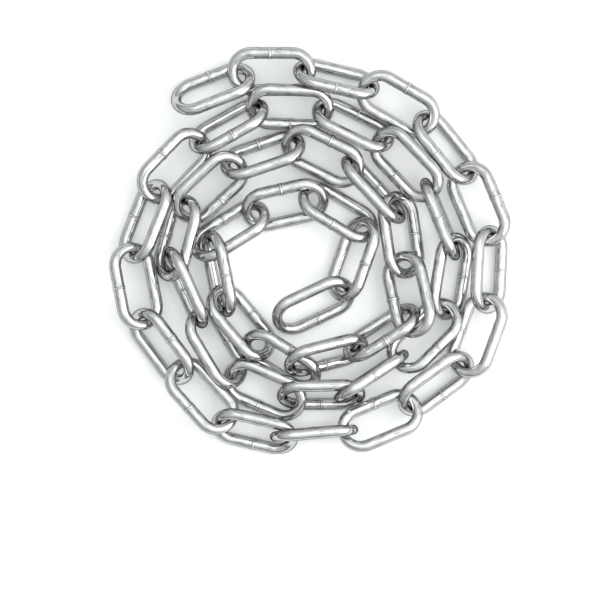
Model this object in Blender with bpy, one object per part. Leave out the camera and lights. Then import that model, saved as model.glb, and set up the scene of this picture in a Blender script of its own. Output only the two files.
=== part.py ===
"""A heap of steel chain: one length of medium-link chain laid down as a flat spiral.

The chain starts at its outer free end, runs round clockwise three times and stops at
its inner free end. Every link is the same bent and welded ring of round wire. The
route gives each link's place and lean by eye, and settle() then lets the links find
room for one another on a level floor, so that neighbours hook together and none meet.
"""

import math

import bpy
import numpy as np
from mathutils import Matrix

# The link, in metres. Forming leaves the wire thicker along the two bars than round
# the two crowns.
BAR_DIAMETER = 0.0045
CROWN_DIAMETER = 0.0038
INNER_LENGTH = 0.0259
INNER_WIDTH = 0.0097
BAR_RADIUS = BAR_DIAMETER / 2
CROWN_RADIUS = CROWN_DIAMETER / 2
BEND_RADIUS = (INNER_WIDTH + BAR_DIAMETER) / 2
STRAIGHT = INNER_LENGTH + CROWN_DIAMETER - 2 * BEND_RADIUS

# The wire's mesh
BEND_STEPS = 6
BEVEL_RESOLUTION = 4
SIDES = 2 * BEVEL_RESOLUTION + 4
FLAT_RADIUS = BAR_RADIUS * math.cos(math.pi / SIDES)

# The route's own units: x to the right and y towards the viewer
UNIT = 0.000378
MIDDLE = (311.0, 251.0)

# One row for each link, from the outer free end to the inner one:
# where it starts, where it ends, and its lean in degrees from flat. A positive lean
# raises the side that faces out of the spiral.
ROUTE = [
    # outer turn
    (173, 104, 253, 73, -45),
    (228, 72, 314, 72, 15),
    (294, 70, 379, 89, -57),
    (361, 83, 436, 126, 15),
    (418, 114, 472, 182, -47),
    (462, 164, 494, 245, 18),
    (491, 226, 487, 313, -48),
    (492, 294, 462, 376, 23),
    (472, 357, 401, 408, -45),
    (421, 402, 340, 432, 18),
    (358, 431, 270, 435, -86),
    (292, 441, 211, 421, -48),
    (232, 428, 174, 364, 24),
    (188, 382, 135, 311, -46),
    (145, 330, 129, 243, 28),
    (130, 261, 161, 181, -47),
    # middle turn
    (146, 200, 205, 135, 25),
    (191, 147, 267, 105, -55),
    (246, 106, 333, 108, 28),
    (314, 106, 393, 145, -49),
    (376, 133, 436, 195, 30),
    (424, 177, 456, 259, -81),
    (459, 232, 445, 319, -45),
    (456, 302, 399, 367, 20),
    (416, 357, 340, 398, -82),
    (362, 396, 275, 396, -59),
    (301, 404, 220, 375, -25),
    (238, 386, 191, 310, 41),
    (205, 326, 167, 247, -76),
    (166, 279, 188, 195, -47),
    # inner turn
    (177, 217, 242, 158, 27),
    (222, 169, 304, 141, -49),
    (284, 137, 362, 174, 28),
    (342, 157, 404, 220, -70),
    (395, 194, 408, 277, -38),
    (400, 252, 419, 336, 30),
    (421, 315, 344, 355, 61),
    (366, 345, 284, 372, -58),
    (316, 383, 244, 338, -45),
    (268, 357, 213, 290, 41),
    (228, 317, 211, 231, -68),
    (193, 253, 266, 208, -44),
    (243, 214, 327, 196, 32),
    (302, 190, 375, 233, -43),
    (368, 218, 339, 300, 46),
    (351, 288, 276, 323, -41),
]

# A link flatter than this lies on its neighbours' low bars, this far off the floor,
# but for those, by number, that the next turn in holds down
FLAT_LEAN = 35
RIDE = 0.0035
HELD_DOWN = (27, 43)

# Settling, in millimetres
CLEAR = 0.25
FLOOR_GAP = 0.03
SAMPLES = 64
GROWING = 168
FIRMING = 224
ROUNDS = 420

UP = np.array([0.0, 0.0, 1.0])


def wire_radius(x):
    """Half the wire's thickness at a distance along the link from its middle."""
    crown = min(1.0, max(0.0, abs(x) - STRAIGHT / 2) / BEND_RADIUS)
    return BAR_RADIUS - (BAR_RADIUS - CROWN_RADIUS) * crown ** 1.5


def bend_points():
    """Corners of a link's centre line: two half circles joined by two straight bars."""
    points = []
    for end in (1, -1):
        for i in range(BEND_STEPS + 1):
            a = math.pi * (i / BEND_STEPS - 0.5)
            # Corners inside the bend stand out a little, so its sides lie on the circle
            r = BEND_RADIUS if i in (0, BEND_STEPS) else BEND_RADIUS / math.cos(math.pi / 4 / BEND_STEPS) ** 2
            points.append((end * (STRAIGHT / 2 + r * math.cos(a)), end * r * math.sin(a)))
    return points


def even_points(count, radius, straight):
    """A link's centre line at even spacing, as rows of x, y, z."""
    bend = math.pi * radius
    whole = 2 * (bend + straight)
    rows = []
    for i in range(count):
        s = whole * i / count
        half, s = divmod(s, whole / 2)
        turn = -1.0 if half else 1.0
        if s < bend:
            a = s / radius - math.pi / 2
            x, y = straight / 2 + radius * math.cos(a), radius * math.sin(a)
        else:
            x, y = straight / 2 - (s - bend), radius
        rows.append((turn * x, turn * y, 0.0))
    return np.array(rows)


def start_poses():
    """Each link's centre and axes from its row, lying on the floor by itself."""
    centres, frames, aims = [], [], []
    reach = 1000 * BEND_RADIUS
    for number, (x0, y0, x1, y1, lean) in enumerate(ROUTE, 1):
        x = ((x0 + x1) / 2 - MIDDLE[0]) * UNIT * 1000
        y = (MIDDLE[1] - (y0 + y1) / 2) * UNIT * 1000
        along = np.array([x1 - x0, y0 - y1, 0.0])
        along /= np.linalg.norm(along)
        out = np.cross(UP, along)
        rides = abs(lean) < FLAT_LEAN and number not in HELD_DOWN
        lean = math.radians(lean)
        across = math.cos(lean) * out + math.sin(lean) * UP
        above = math.cos(lean) * UP - math.sin(lean) * out
        z = 1000 * (BAR_RADIUS + RIDE * rides) + reach * abs(math.sin(lean))
        centres.append((x, y, z))
        frames.append(np.column_stack((along, across, above)))
        aims.append((out, above))
    # The first link stands exactly on a flat of its wire
    centres[0] = centres[0][:2] + (1000 * FLAT_RADIUS + reach * math.sin(math.pi / 4),)
    return np.array(centres), np.array(frames), aims


def turned(frame, angle):
    """A link's axes after a small turn about a vector."""
    size = np.linalg.norm(angle)
    if size < 1e-12:
        return frame
    k = angle / size
    cross = np.array([[0, -k[2], k[1]], [k[2], 0, -k[0]], [-k[1], k[0], 0]])
    return (np.eye(3) + math.sin(size) * cross + (1 - math.cos(size)) * cross @ cross) @ frame


def near_spots(rings, half, pairs, limit):
    """Where pairs of rings come nearest, and the distance that their wires need there."""
    p, q = rings[pairs[:, 0]], rings[pairs[:, 1]]
    gap = (p * p).sum(2)[:, :, None] + (q * q).sum(2)[:, None] - 2 * p @ q.transpose(0, 2, 1)
    k, a, b = np.nonzero(gap < limit ** 2)
    low = np.ones(len(k), bool)
    for da, db in ((1, 0), (-1, 0), (0, 1), (0, -1), (1, 1), (1, -1), (-1, 1), (-1, -1)):
        low &= gap[k, a, b] <= gap[k, (a + da) % SAMPLES, (b + db) % SAMPLES]
    k, a, b = k[low], a[low], b[low]

    # Slide both spots along their wires to where the two wires are truly nearest
    steps = np.roll(rings, -1, axis=1) - np.roll(rings, 1, axis=1)
    steps /= np.linalg.norm(steps, axis=2)[:, :, None]
    i, j = pairs[k, 0], pairs[k, 1]
    p, q, tp, tq = rings[i, a], rings[j, b], steps[i, a], steps[j, b]
    w, turn = p - q, (tp * tq).sum(1)
    wp, wq = (w * tp).sum(1), (w * tq).sum(1)
    scale = np.maximum(1 - turn ** 2, 0.05)
    slide_p = np.clip((turn * wq - wp) / scale, -0.7, 0.7)
    slide_q = np.clip((wq - turn * wp) / scale, -0.7, 0.7)
    return i, j, p + slide_p[:, None] * tp, q + slide_q[:, None] * tq, half[a] + half[b] + CLEAR


def spot_rows(i, j, p, q, centres):
    """Distance at each spot, and how it changes as the two links move and turn."""
    gap = np.linalg.norm(p - q, axis=1)
    u = (p - q) / gap[:, None]
    rows = np.zeros((len(gap), len(centres), 6))
    each = np.arange(len(gap))
    rows[each, i, :3] = u
    rows[each, i, 3:] = np.cross(p - centres[i], u)
    rows[each, j, :3] = -u
    rows[each, j, 3:] = -np.cross(q - centres[j], u)
    return gap, rows.reshape(len(gap), -1)


def hold_rows(centres, frames, start, aims, hold):
    """Gentle springs back to each link's place, heading and lean."""
    count = len(centres)
    rows, errors = np.zeros((6 * count, 6 * count)), np.zeros(6 * count)
    for i in range(count):
        at = 6 * i
        out, above = aims[i]
        along, across = frames[i][:, 0], frames[i][:, 1]
        stiff = hold * np.array([1.0, 1.0, 0.5])
        rows[at:at + 3, at:at + 3] = np.diag(stiff)
        errors[at:at + 3] = stiff * (centres[i] - start[i])
        springs = ((12, along, out), (25, across, above), (4, along, UP))
        for n, (weight, arm, aim) in enumerate(springs):
            rows[at + 3 + n, at + 3:at + 6] = weight * hold * np.cross(arm, aim)
            errors[at + 3 + n] = weight * hold * (arm @ aim)
    return rows, errors


def settle():
    """Let the links make room for one another and come to rest on the floor.

    The wires start thin and hooked, and grow to full size while they push apart.
    """
    ring = even_points(SAMPLES, 1000 * BEND_RADIUS, 1000 * STRAIGHT)
    half = np.array([1000 * wire_radius(x / 1000) for x in ring[:, 0]])
    centres, frames, aims = start_poses()
    start = centres.copy()
    count = len(ROUTE)
    upper = np.transpose(np.triu_indices(count, 1))
    chained = np.column_stack((np.arange(count - 1), np.arange(1, count)))
    free = np.ones(6 * count, bool)
    free[2:6] = False
    for step in range(ROUNDS):
        grown, done = min(1.0, 0.05 + step / GROWING), min(1.0, step / FIRMING)
        push, hold = 3.0 + 27.0 * done, 1.5 - 1.4 * done
        rings = np.einsum("nij,sj->nsi", frames, ring) + centres[:, None]

        apart = np.linalg.norm(centres[upper[:, 0]] - centres[upper[:, 1]], axis=1)
        limit = grown * (2000 * BAR_RADIUS + CLEAR) + 1.5
        i, j, p, q, need = near_spots(rings, half, upper[apart < 36], limit)
        gap, rows = spot_rows(i, j, p, q, centres)
        over = gap - grown * need
        blocks = [(push * rows[over < 0], push * over[over < 0])]

        # A hooked pair that hangs loose is drawn together
        i, j, p, q, need = near_spots(rings, half, chained, 25.0)
        gap, rows = spot_rows(i, j, p, q, centres)
        loose = gap - need
        best = np.array([np.flatnonzero(i == n)[np.argmin(loose[i == n])] for n in range(count - 1)])
        best = best[loose[best] > 0]
        blocks.append((0.5 * rows[best], 0.5 * loose[best]))

        # The floor
        depth = rings[:, :, 2] - half - FLOOR_GAP
        depth[0] = 1.0
        link, spot = np.nonzero(depth < 0)
        under = rings[link, spot]
        rows = np.zeros((len(link), count, 6))
        rows[np.arange(len(link)), link, 2] = 1.0
        rows[np.arange(len(link)), link, 3:] = np.cross(under - centres[link], UP)
        blocks.append((0.5 * push * rows.reshape(len(link), -1), 0.5 * push * depth[link, spot]))

        blocks.append(hold_rows(centres, frames, start, aims, hold))
        slope = np.vstack([block[0] for block in blocks])[:, free]
        errors = np.concatenate([block[1] for block in blocks])
        damping = np.diag(np.tile([0.05] * 3 + [5.0] * 3, count)[free])
        move = np.zeros(6 * count)
        move[free] = np.linalg.solve(slope.T @ slope + damping, -slope.T @ errors)
        move = move.reshape(count, 6)
        move *= min(1.0, 0.4 / np.abs(move[:, :3]).max(), 0.04 / np.abs(move[:, 3:]).max())
        move *= 0.3 if done == 1 else 1.0
        centres += move[:, :3]
        frames = np.array([turned(frame, angle) for frame, angle in zip(frames, move[:, 3:])])
    return centres / 1000, frames


def steel_material():
    """Bright zinc-plated steel."""
    mat = bpy.data.materials.new("zinc_plated_steel")
    mat.use_nodes = True
    shader = mat.node_tree.nodes["Principled BSDF"]
    shader.inputs["Base Color"].default_value = (0.72, 0.73, 0.75, 1.0)
    shader.inputs["Metallic"].default_value = 1.0
    shader.inputs["Roughness"].default_value = 0.22
    return mat


def link_curve(mat):
    """The link: a closed line along the wire's centre, given the wire's round section."""
    curve = bpy.data.curves.new("link", "CURVE")
    curve.dimensions = "3D"
    curve.bevel_depth = BAR_RADIUS
    curve.bevel_resolution = BEVEL_RESOLUTION
    points = bend_points()
    spline = curve.splines.new("POLY")
    spline.points.add(len(points) - 1)
    for point, (x, y) in zip(spline.points, points):
        point.co = (x, y, 0.0, 1.0)
        point.radius = wire_radius(x) / BAR_RADIUS
    spline.use_cyclic_u = True
    spline.use_smooth = True
    curve.materials.append(mat)
    return curve


def place(obj, centre, frame):
    """Put a link at its centre, turned to its axes."""
    rotation = Matrix([[float(v) for v in row] for row in frame])
    obj.matrix_world = Matrix.Translation([float(v) for v in centre]) @ rotation.to_4x4()


def box_of(objects):
    """The lowest and highest corner of a list of objects."""
    graph = bpy.context.evaluated_depsgraph_get()
    corners = []
    for obj in objects:
        mesh = obj.evaluated_get(graph).to_mesh()
        corners += [(obj.matrix_world @ v.co)[:] for v in mesh.vertices]
        obj.evaluated_get(graph).to_mesh_clear()
    return np.min(corners, axis=0), np.max(corners, axis=0)


def build():
    for obj in list(bpy.data.objects):
        bpy.data.objects.remove(obj, do_unlink=True)
    heap = bpy.data.collections.new("heap_of_steel_chain")
    bpy.context.scene.collection.children.link(heap)

    curve = link_curve(steel_material())
    links = []
    for i, (centre, frame) in enumerate(zip(*settle())):
        link = bpy.data.objects.new(f"link_{i + 1:02d}", curve)
        heap.objects.link(link)
        place(link, centre, frame)
        links.append(link)
    bpy.context.view_layer.update()

    # The origin is on the floor, under the middle of the heap
    low, high = box_of(links)
    middle = Matrix.Translation((-(low[0] + high[0]) / 2, -(low[1] + high[1]) / 2, 0.0))
    for link in links:
        link.matrix_world = middle @ link.matrix_world


build()
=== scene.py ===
"""Looks for the heap of steel chain: round, welded, zinc-plated links on a pale floor."""

import math

import bpy
import numpy as np
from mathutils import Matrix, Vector


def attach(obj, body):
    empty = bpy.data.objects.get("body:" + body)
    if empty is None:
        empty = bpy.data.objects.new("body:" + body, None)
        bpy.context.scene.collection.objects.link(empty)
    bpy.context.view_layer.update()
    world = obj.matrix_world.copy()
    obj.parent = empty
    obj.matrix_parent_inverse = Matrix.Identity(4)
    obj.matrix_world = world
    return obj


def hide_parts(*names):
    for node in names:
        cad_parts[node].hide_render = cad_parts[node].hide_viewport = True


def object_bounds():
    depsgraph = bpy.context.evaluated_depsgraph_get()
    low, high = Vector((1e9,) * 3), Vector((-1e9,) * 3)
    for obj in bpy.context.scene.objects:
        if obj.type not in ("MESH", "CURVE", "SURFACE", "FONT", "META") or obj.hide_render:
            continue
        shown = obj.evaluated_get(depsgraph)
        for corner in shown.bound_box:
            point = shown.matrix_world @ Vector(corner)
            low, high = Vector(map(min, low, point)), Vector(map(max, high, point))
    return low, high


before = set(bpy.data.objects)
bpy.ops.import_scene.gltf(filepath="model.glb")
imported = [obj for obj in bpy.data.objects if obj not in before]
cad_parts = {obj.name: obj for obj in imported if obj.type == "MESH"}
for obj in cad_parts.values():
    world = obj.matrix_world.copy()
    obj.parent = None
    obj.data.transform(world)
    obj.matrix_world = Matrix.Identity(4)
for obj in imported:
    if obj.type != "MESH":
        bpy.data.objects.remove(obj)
cad_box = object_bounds()

# The link, in metres as all lengths here
BAR_RADIUS = 0.00225
CROWN_RADIUS = 0.0019
BEND_RADIUS = 0.0071
STRAIGHT = 0.0155

# The weld, at the middle of one bar: a low swelling, a fine ridge round the wire with a shallow
# groove on each side, and beyond them the flats that the welding jaws left
SWELL_HEIGHT = 0.00008
SWELL_WIDTH = 0.0011
RIDGE_HEIGHT = 0.00018
RIDGE_WIDTH = 0.00021
GROOVE_DEPTH = 0.00004
GROOVE_PLACE = 0.00048
GROOVE_WIDTH = 0.00015
GRIP_DEPTH = 0.00007
GRIP_PLACE = 0.0019
GRIP_WIDTH = 0.0008
HEAT_WIDTH = 0.0014

# How far the weld may be off the middle of its bar, and how much it waves round the wire
WELD_SHIFT = 0.0006
WELD_WAVE = 0.00006

# The swept mesh: close steps within the reach of the weld, wider ones elsewhere
SIDES = 28
BEND_STEPS = 26
BAR_STEPS = 10
WELD_STEPS = 46
WELD_REACH = 0.0032

# Which bar of each link has the weld, from link 1: o faces out of the coil, i into it
WELDS = ("ooioiooioi" "oooioooiio" "iiooiooioo" "iooooiooii" "iooioo")

# The plate's reflectance where the clouding is darkest and lightest
PLATE_DARK = (0.50, 0.505, 0.505, 1)
PLATE_LIGHT = (0.62, 0.62, 0.615, 1)

# What is left of the reflection near the edge of the wire as it is seen: 1 would keep it whole. It
# paints a thin dark outline of painted shade, and also darkens wire that points at the viewer
EDGE_SHADE_TINT = (0.05, 0.05, 0.05, 1)

# The sky: a direction, and the level at each cosine of the angle from it
OVERHEAD = (0.08, 0.16, 1.0)
OVERHEAD_LEVELS = (
    (0.0, 0.14), (0.12, 0.20), (0.3, 0.28), (0.62, 0.37), (0.84, 0.48), (0.90, 0.70), (1.0, 0.80))
RIGHT = (1.0, -0.2, 0.5)
RIGHT_LEVELS = ((0.4, 0.0), (0.8, 0.18), (1.0, 0.26))
SKY_STRENGTH = 2.3

# The lamp, and the floor, which lies just under the chain
LAMP_PLACE = (0.22, -0.07, 0.20)
LAMP_AIM = (0.04, 0.0, 0.0)
LAMP_SIZE = 0.24
LAMP_POWER = 0.44
FLOOR_REACH = 3.0
FLOOR_DROP = 0.0003

# The picture: its width in pixels, the size of one at a height within the chain, its middle,
# and how high the camera is
WIDTH = 600
PIXEL = 0.000378
PIXEL_HEIGHT = 0.008
MIDDLE = (-0.00384, -0.01848)
CAMERA_HEIGHT = 1.1


def node_centre(node):
    """The middle of a node and its different corners."""
    corners = np.array([v.co for v in node.data.vertices])
    corners = np.unique(np.round(corners, 7), axis=0)
    return corners.mean(axis=0), corners


def link_pose(node, heading):
    """A link's centre and its axes: along the chain, out of the coil, and up."""
    centre, corners = node_centre(node)
    spread = (corners - centre).T @ (corners - centre)
    axes = np.linalg.eigh(spread)[1][:, ::-1]
    along, across = axes[:, 0], axes[:, 1]
    along = along if along @ heading > 0 else -along
    left = np.array([-heading[1], heading[0], 0.0])
    across = across if across @ left > 0 else -across
    return centre, np.column_stack((along, across, np.cross(along, across)))


def centre_line():
    """Points round the link as x, y, from just before the weld and back to it."""
    half = STRAIGHT / 2
    plain = half - WELD_REACH
    points = []
    for i in range(WELD_STEPS):
        t = 2 * i / WELD_STEPS - 1
        points.append((WELD_REACH * (0.4 * t + 0.6 * t ** 3), BEND_RADIUS))
    for i in range(BAR_STEPS // 2):
        points.append((WELD_REACH + plain * i / (BAR_STEPS // 2), BEND_RADIUS))
    for i in range(BEND_STEPS):
        a = math.pi * (0.5 - i / BEND_STEPS)
        points.append((half + BEND_RADIUS * math.cos(a), BEND_RADIUS * math.sin(a)))
    for i in range(BAR_STEPS):
        points.append((half - STRAIGHT * i / BAR_STEPS, -BEND_RADIUS))
    for i in range(BEND_STEPS):
        a = math.pi * (-0.5 - i / BEND_STEPS)
        points.append((-half + BEND_RADIUS * math.cos(a), BEND_RADIUS * math.sin(a)))
    for i in range(BAR_STEPS // 2):
        points.append((-half + plain * i / (BAR_STEPS // 2), BEND_RADIUS))
    return np.array(points)


def wire_shape(line, turn, rng):
    """The wire's radius at each point and side, and how much of the weld's marks is there."""
    def wave(lobes, size):
        return size * np.cos(lobes * turn + rng.uniform(0, 6.28))

    lobes = 1 + wave(2, 0.3) + wave(3, 0.2)
    shift = rng.uniform(-WELD_SHIFT, WELD_SHIFT)
    waved = WELD_WAVE * np.sin(turn + rng.uniform(0, 6.28))
    # Away from the welded bar every distance is taken as a metre, so no mark shows there
    at = np.where(line[:, 1] > BEND_RADIUS * 0.999, line[:, 0], 1.0)[:, None] - shift - waved

    # Where the ridge is: it raises the wire, and in the material it paints the ridge lighter, a
    # painted highlight
    seam_and_highlight = np.exp(-(at / RIDGE_WIDTH) ** 2)
    swell = np.exp(-(at / SWELL_WIDTH) ** 2)
    # Where the grooves are: they sink the wire a little, and in the material they paint it darker,
    # a painted shade
    groove_and_shade = np.exp(-((np.abs(at) - GROOVE_PLACE) / GROOVE_WIDTH) ** 2)
    heat = np.exp(-(at / HEAT_WIDTH) ** 2)

    crown = np.clip((np.abs(line[:, 0]) - STRAIGHT / 2) / BEND_RADIUS, 0, 1)[:, None] ** 1.5
    radius = BAR_RADIUS - (BAR_RADIUS - CROWN_RADIUS) * crown
    radius = radius + SWELL_HEIGHT * swell * lobes + RIDGE_HEIGHT * seam_and_highlight * (0.5 + 0.5 * lobes)
    for side in (-1, 1):
        grip = np.exp(-((at - side * GRIP_PLACE) / GRIP_WIDTH) ** 4)
        radius = radius - GRIP_DEPTH * grip * (0.5 + 0.5 * np.cos(2 * turn + 0.4))
    return radius - GROOVE_DEPTH * groove_and_shade, {"heat": heat, "seam_and_highlight": seam_and_highlight, "groove_and_shade": groove_and_shade}


def sweep(name, line, turn, radius):
    """The mesh of a wire with its radius at each point of the line and each side."""
    count = len(line)
    ahead = np.roll(line, -1, axis=0) - np.roll(line, 1, axis=0)
    ahead /= np.linalg.norm(ahead, axis=1)[:, None]
    level = np.zeros(count)
    flat = np.column_stack((line, level))
    outward = np.column_stack((-ahead[:, 1], ahead[:, 0], level))[:, None]
    up = np.array([0, 0, 1.0])
    ring = outward * np.cos(turn)[None, :, None] + up * np.sin(turn)[None, :, None]
    verts = (flat[:, None] + ring * radius[:, :, None]).reshape(-1, 3)
    faces = []
    for i in range(count):
        j = (i + 1) % count
        for k in range(SIDES):
            n = (k + 1) % SIDES
            faces.append((i * SIDES + k, i * SIDES + n, j * SIDES + n, j * SIDES + k))
    mesh = bpy.data.meshes.new(name)
    mesh.from_pydata(verts.tolist(), [], faces)
    mesh.shade_smooth()
    return mesh


def lay_out(mesh, line):
    """Surface coordinates in millimetres: along the wire, and round it from the outer side.

    The count round the wire runs up and back again. The ends of the count along it meet at the
    middle of a crown, where the next link crosses.
    """
    around = np.append(line, line[:1], axis=0)
    steps = np.linalg.norm(np.diff(around, axis=0), axis=1)
    length = np.append(0.0, np.cumsum(steps))
    start = length[WELD_STEPS + BAR_STEPS // 2 + BEND_STEPS // 2]
    half_round = math.pi * BAR_RADIUS
    data = np.zeros((len(line) * SIDES * 4, 2))
    for i, step in enumerate(steps):
        u0 = (length[i] - start) % length[-1]
        u1 = u0 + step
        for k in range(SIDES):
            loop = 4 * (i * SIDES + k)
            v0, v1 = (half_round * (1 - abs(1 - 2 * n / SIDES)) for n in (k, k + 1))
            data[loop:loop + 4] = ((u0, v0), (u0, v1), (u1, v1), (u1, v0))
    data *= 1000
    mesh.uv_layers.new(name="wire").data.foreach_set("uv", data.ravel())


def link_mesh(name, rng):
    """One round wire swept round the link, with its weld."""
    line = centre_line()
    turn = 2 * math.pi * np.arange(SIDES) / SIDES
    radius, marks = wire_shape(line, turn, rng)
    mesh = sweep(name, line, turn, radius)
    lay_out(mesh, line)
    for label, values in marks.items():
        layer = mesh.attributes.new(label, "FLOAT", "POINT")
        layer.data.foreach_set("value", values.astype(np.float32).ravel())
    mesh.update()
    return mesh


def put(tree, kind, inputs, **settings):
    """A new node: values or other nodes' outputs for its sockets, and its own settings."""
    node = tree.nodes.new("ShaderNode" + kind)
    for setting, value in settings.items():
        setattr(node, setting, value)
    for socket, value in inputs.items():
        if isinstance(value, bpy.types.NodeSocket):
            tree.links.new(value, node.inputs[socket])
        else:
            node.inputs[socket].default_value = value
    return node


def noise(tree, vector, scale, detail, roughness):
    """The value of a noise texture."""
    inputs = {"Vector": vector, "Scale": scale, "Detail": detail, "Roughness": roughness}
    return put(tree, "TexNoise", inputs).outputs["Fac"]


def zinc_material():
    """Bright zinc plate over drawn wire: soft clouding, lengthwise lines, duller at the weld, with
    a painted highlight on the weld's ridge, painted shade in the grooves beside it and a dark
    outline of painted shade at the wire's edges.
    """
    mat = bpy.data.materials.new("zinc_plated_steel")
    mat.use_nodes = True
    tree = mat.node_tree
    wire = put(tree, "UVMap", {}, uv_map="wire").outputs["UV"]
    random = put(tree, "ObjectInfo", {}).outputs["Random"]
    place = put(tree, "TexCoord", {}).outputs["Object"]
    heat, seam_and_highlight, groove_and_shade = (put(tree, "Attribute", {}, attribute_name=label).outputs["Fac"]
                          for label in ("heat", "seam_and_highlight", "groove_and_shade"))

    # Clouding in space, fine lines and broader smudges along the wire, different on each link
    moved = put(tree, "VectorMath", {0: random, 1: (37.0, 61.0, 83.0), 2: place},
                operation="MULTIPLY_ADD")
    cloud = noise(tree, moved.outputs[0], 260.0, 4.0, 0.5)
    drawn_out = put(tree, "Mapping", {"Vector": wire, "Scale": (0.12, 5.0, 1.0)})
    lines = noise(tree, drawn_out.outputs[0], 1.6, 5.0, 0.6)
    spread = put(tree, "VectorMath", {0: wire, 1: (0.16, 1.1, 1.0), 2: random},
                 operation="MULTIPLY_ADD")
    smudges = noise(tree, spread.outputs[0], 1.5, 4.0, 0.65)
    streaks = put(tree, "MapRange", {"Value": smudges, "From Min": 0.53, "From Max": 0.66})

    # Colour: the plate, then what is laid over it, each with its share
    plate = put(tree, "ValToRGB", {"Fac": cloud})
    dark, light = plate.color_ramp.elements
    dark.position, dark.color = 0.3, PLATE_DARK
    light.position, light.color = 0.7, PLATE_LIGHT
    colour = plate.outputs["Color"]
    for share, amount, tone in ((streaks.outputs["Result"], 0.7, (0.2, 0.2, 0.2, 1)),
                                (heat, 0.35, (0.45, 0.44, 0.43, 1)),
                                # The grooves painted dark: painted shade beside the ridge
                                (groove_and_shade, 0.5, (0.2, 0.2, 0.2, 1)),
                                # The ridge painted light: a painted highlight over the raised
                                # ridge
                                (seam_and_highlight, 0.85, (0.8, 0.8, 0.8, 1))):
        part = put(tree, "Math", {0: share, 1: amount}, operation="MULTIPLY")
        mix = put(tree, "Mix", {"Factor": part.outputs[0], 6: colour, 7: tone}, data_type="RGBA")
        colour = mix.outputs[2]

    # Roughness follows the lines, and is greater at the weld
    lined = put(tree, "MapRange", {"Value": lines, "To Min": 0.04, "To Max": 0.17})
    rough = lined.outputs["Result"]
    for share, amount in ((heat, 0.10), (seam_and_highlight, 0.25)):
        rough = put(tree, "Math", {0: share, 1: amount, 2: rough},
                    operation="MULTIPLY_ADD").outputs[0]

    lined = put(tree, "Bump", {"Height": lines, "Strength": 0.10, "Distance": 0.00006})
    wavy = put(tree, "Bump", {"Height": cloud, "Strength": 0.25, "Distance": 0.0002,
                              "Normal": lined.outputs["Normal"]})

    shader = tree.nodes["Principled BSDF"]
    shader.inputs["Metallic"].default_value = 1.0
    # A near-black tint takes the reflection away at the wire's edges: a dark outline of painted
    # shade
    shader.inputs["Specular Tint"].default_value = EDGE_SHADE_TINT
    tree.links.new(colour, shader.inputs["Base Color"])
    tree.links.new(rough, shader.inputs["Roughness"])
    tree.links.new(wavy.outputs["Normal"], shader.inputs["Normal"])
    return mat


def dress_links(mat):
    """A round link in place of each node."""
    rng = np.random.default_rng(7)
    names = sorted(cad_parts)
    middles = np.array([node_centre(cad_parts[name])[0] for name in names])
    headings = np.gradient(middles, axis=0)
    for number, name in enumerate(names):
        centre, axes = link_pose(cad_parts[name], headings[number])
        if WELDS[number] == "i":
            axes = axes * np.array([-1.0, -1.0, 1.0])
        mesh = link_mesh(name + "_round", rng)
        mesh.materials.append(mat)
        world = np.array([v.co for v in mesh.vertices]) @ axes.T + centre
        world = np.clip(world, cad_box[0], cad_box[1])
        mesh.vertices.foreach_set("co", world.ravel())
        mesh.update()
        link = bpy.data.objects.new(name + "_round", mesh)
        bpy.context.collection.objects.link(link)
        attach(link, "root")
        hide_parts(name)


def make_floor():
    """A plain pale floor, with a faint light of its own to keep it white."""
    mesh = bpy.data.meshes.new("floor")
    r = FLOOR_REACH
    mesh.from_pydata([(-r, -r, 0), (r, -r, 0), (r, r, 0), (-r, r, 0)], [], [(0, 1, 2, 3)])
    floor = bpy.data.objects.new("floor", mesh)
    bpy.context.collection.objects.link(floor)
    floor.location.z = -FLOOR_DROP
    mat = bpy.data.materials.new("floor")
    mat.use_nodes = True
    shader = mat.node_tree.nodes["Principled BSDF"]
    shader.inputs["Base Color"].default_value = (0.82, 0.82, 0.82, 1)
    shader.inputs["Roughness"].default_value = 0.9
    shader.inputs["Specular IOR Level"].default_value = 0.1
    shader.inputs["Emission Color"].default_value = (0.95, 0.98, 1.0, 1)
    shader.inputs["Emission Strength"].default_value = 0.17
    mesh.materials.append(mat)


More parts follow.
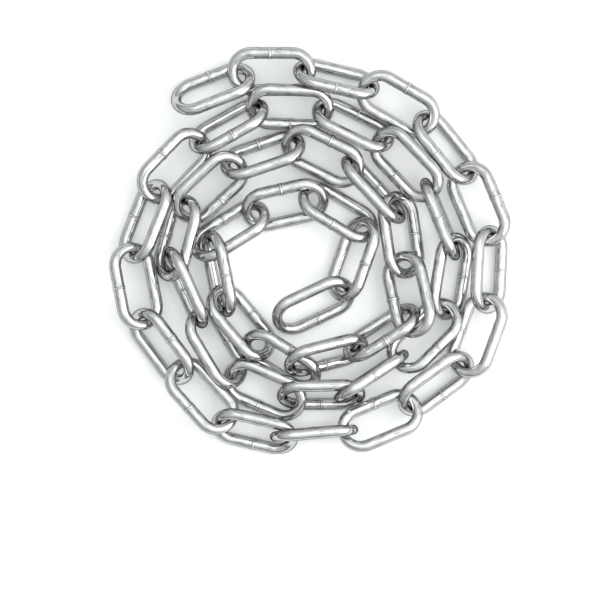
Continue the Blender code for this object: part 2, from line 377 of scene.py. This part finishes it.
def glow(tree, aim, levels):
    """A part of the sky that fades with the angle from a direction."""
    coords = put(tree, "TexCoord", {})
    facing = put(tree, "VectorMath", {0: coords.outputs["Generated"], 1: Vector(aim).normalized()},
                 operation="DOT_PRODUCT")
    fade = put(tree, "ValToRGB", {"Fac": facing.outputs["Value"]})
    elements = fade.color_ramp.elements
    elements[0].position, elements[1].position = levels[0][0], levels[-1][0]
    for place, _ in levels[1:-1]:
        elements.new(place)
    for element, (_, level) in zip(elements, levels):
        element.color = (level * 0.97, level * 0.99, level, 1)
    return fade.outputs["Color"]


def make_sky():
    """Broad soft light from overhead, less from the right, and a dim surround."""
    world = bpy.data.worlds.new("studio")
    bpy.context.scene.world = world
    world.use_nodes = True
    tree = world.node_tree
    over = glow(tree, OVERHEAD, OVERHEAD_LEVELS)
    right = glow(tree, RIGHT, RIGHT_LEVELS)
    both = put(tree, "VectorMath", {0: over, 1: right}, operation="ADD")
    back = tree.nodes["Background"]
    tree.links.new(both.outputs[0], back.inputs["Color"])
    back.inputs["Strength"].default_value = SKY_STRENGTH


def make_lamp():
    """A soft lamp near the right side of the heap."""
    data = bpy.data.lights.new("side", "AREA")
    data.size = LAMP_SIZE
    data.energy = LAMP_POWER
    lamp = bpy.data.objects.new("side", data)
    lamp.location = LAMP_PLACE
    aim = Vector(LAMP_AIM) - lamp.location
    lamp.rotation_euler = aim.to_track_quat("-Z", "Y").to_euler()
    bpy.context.collection.objects.link(lamp)


def make_camera():
    """Straight down, from far enough to keep the links' sizes even."""
    data = bpy.data.cameras.new("camera")
    camera = bpy.data.objects.new("camera", data)
    bpy.context.collection.objects.link(camera)
    data.sensor_width = 36.0
    data.lens = data.sensor_width * (CAMERA_HEIGHT - PIXEL_HEIGHT) / (WIDTH * PIXEL)
    camera.location = (*MIDDLE, CAMERA_HEIGHT)
    camera.rotation_euler = (0, 0, 0)
    bpy.context.scene.camera = camera


dress_links(zinc_material())
make_floor()
make_sky()
make_lamp()
make_camera()
bpy.context.scene.view_settings.view_transform = "Standard"
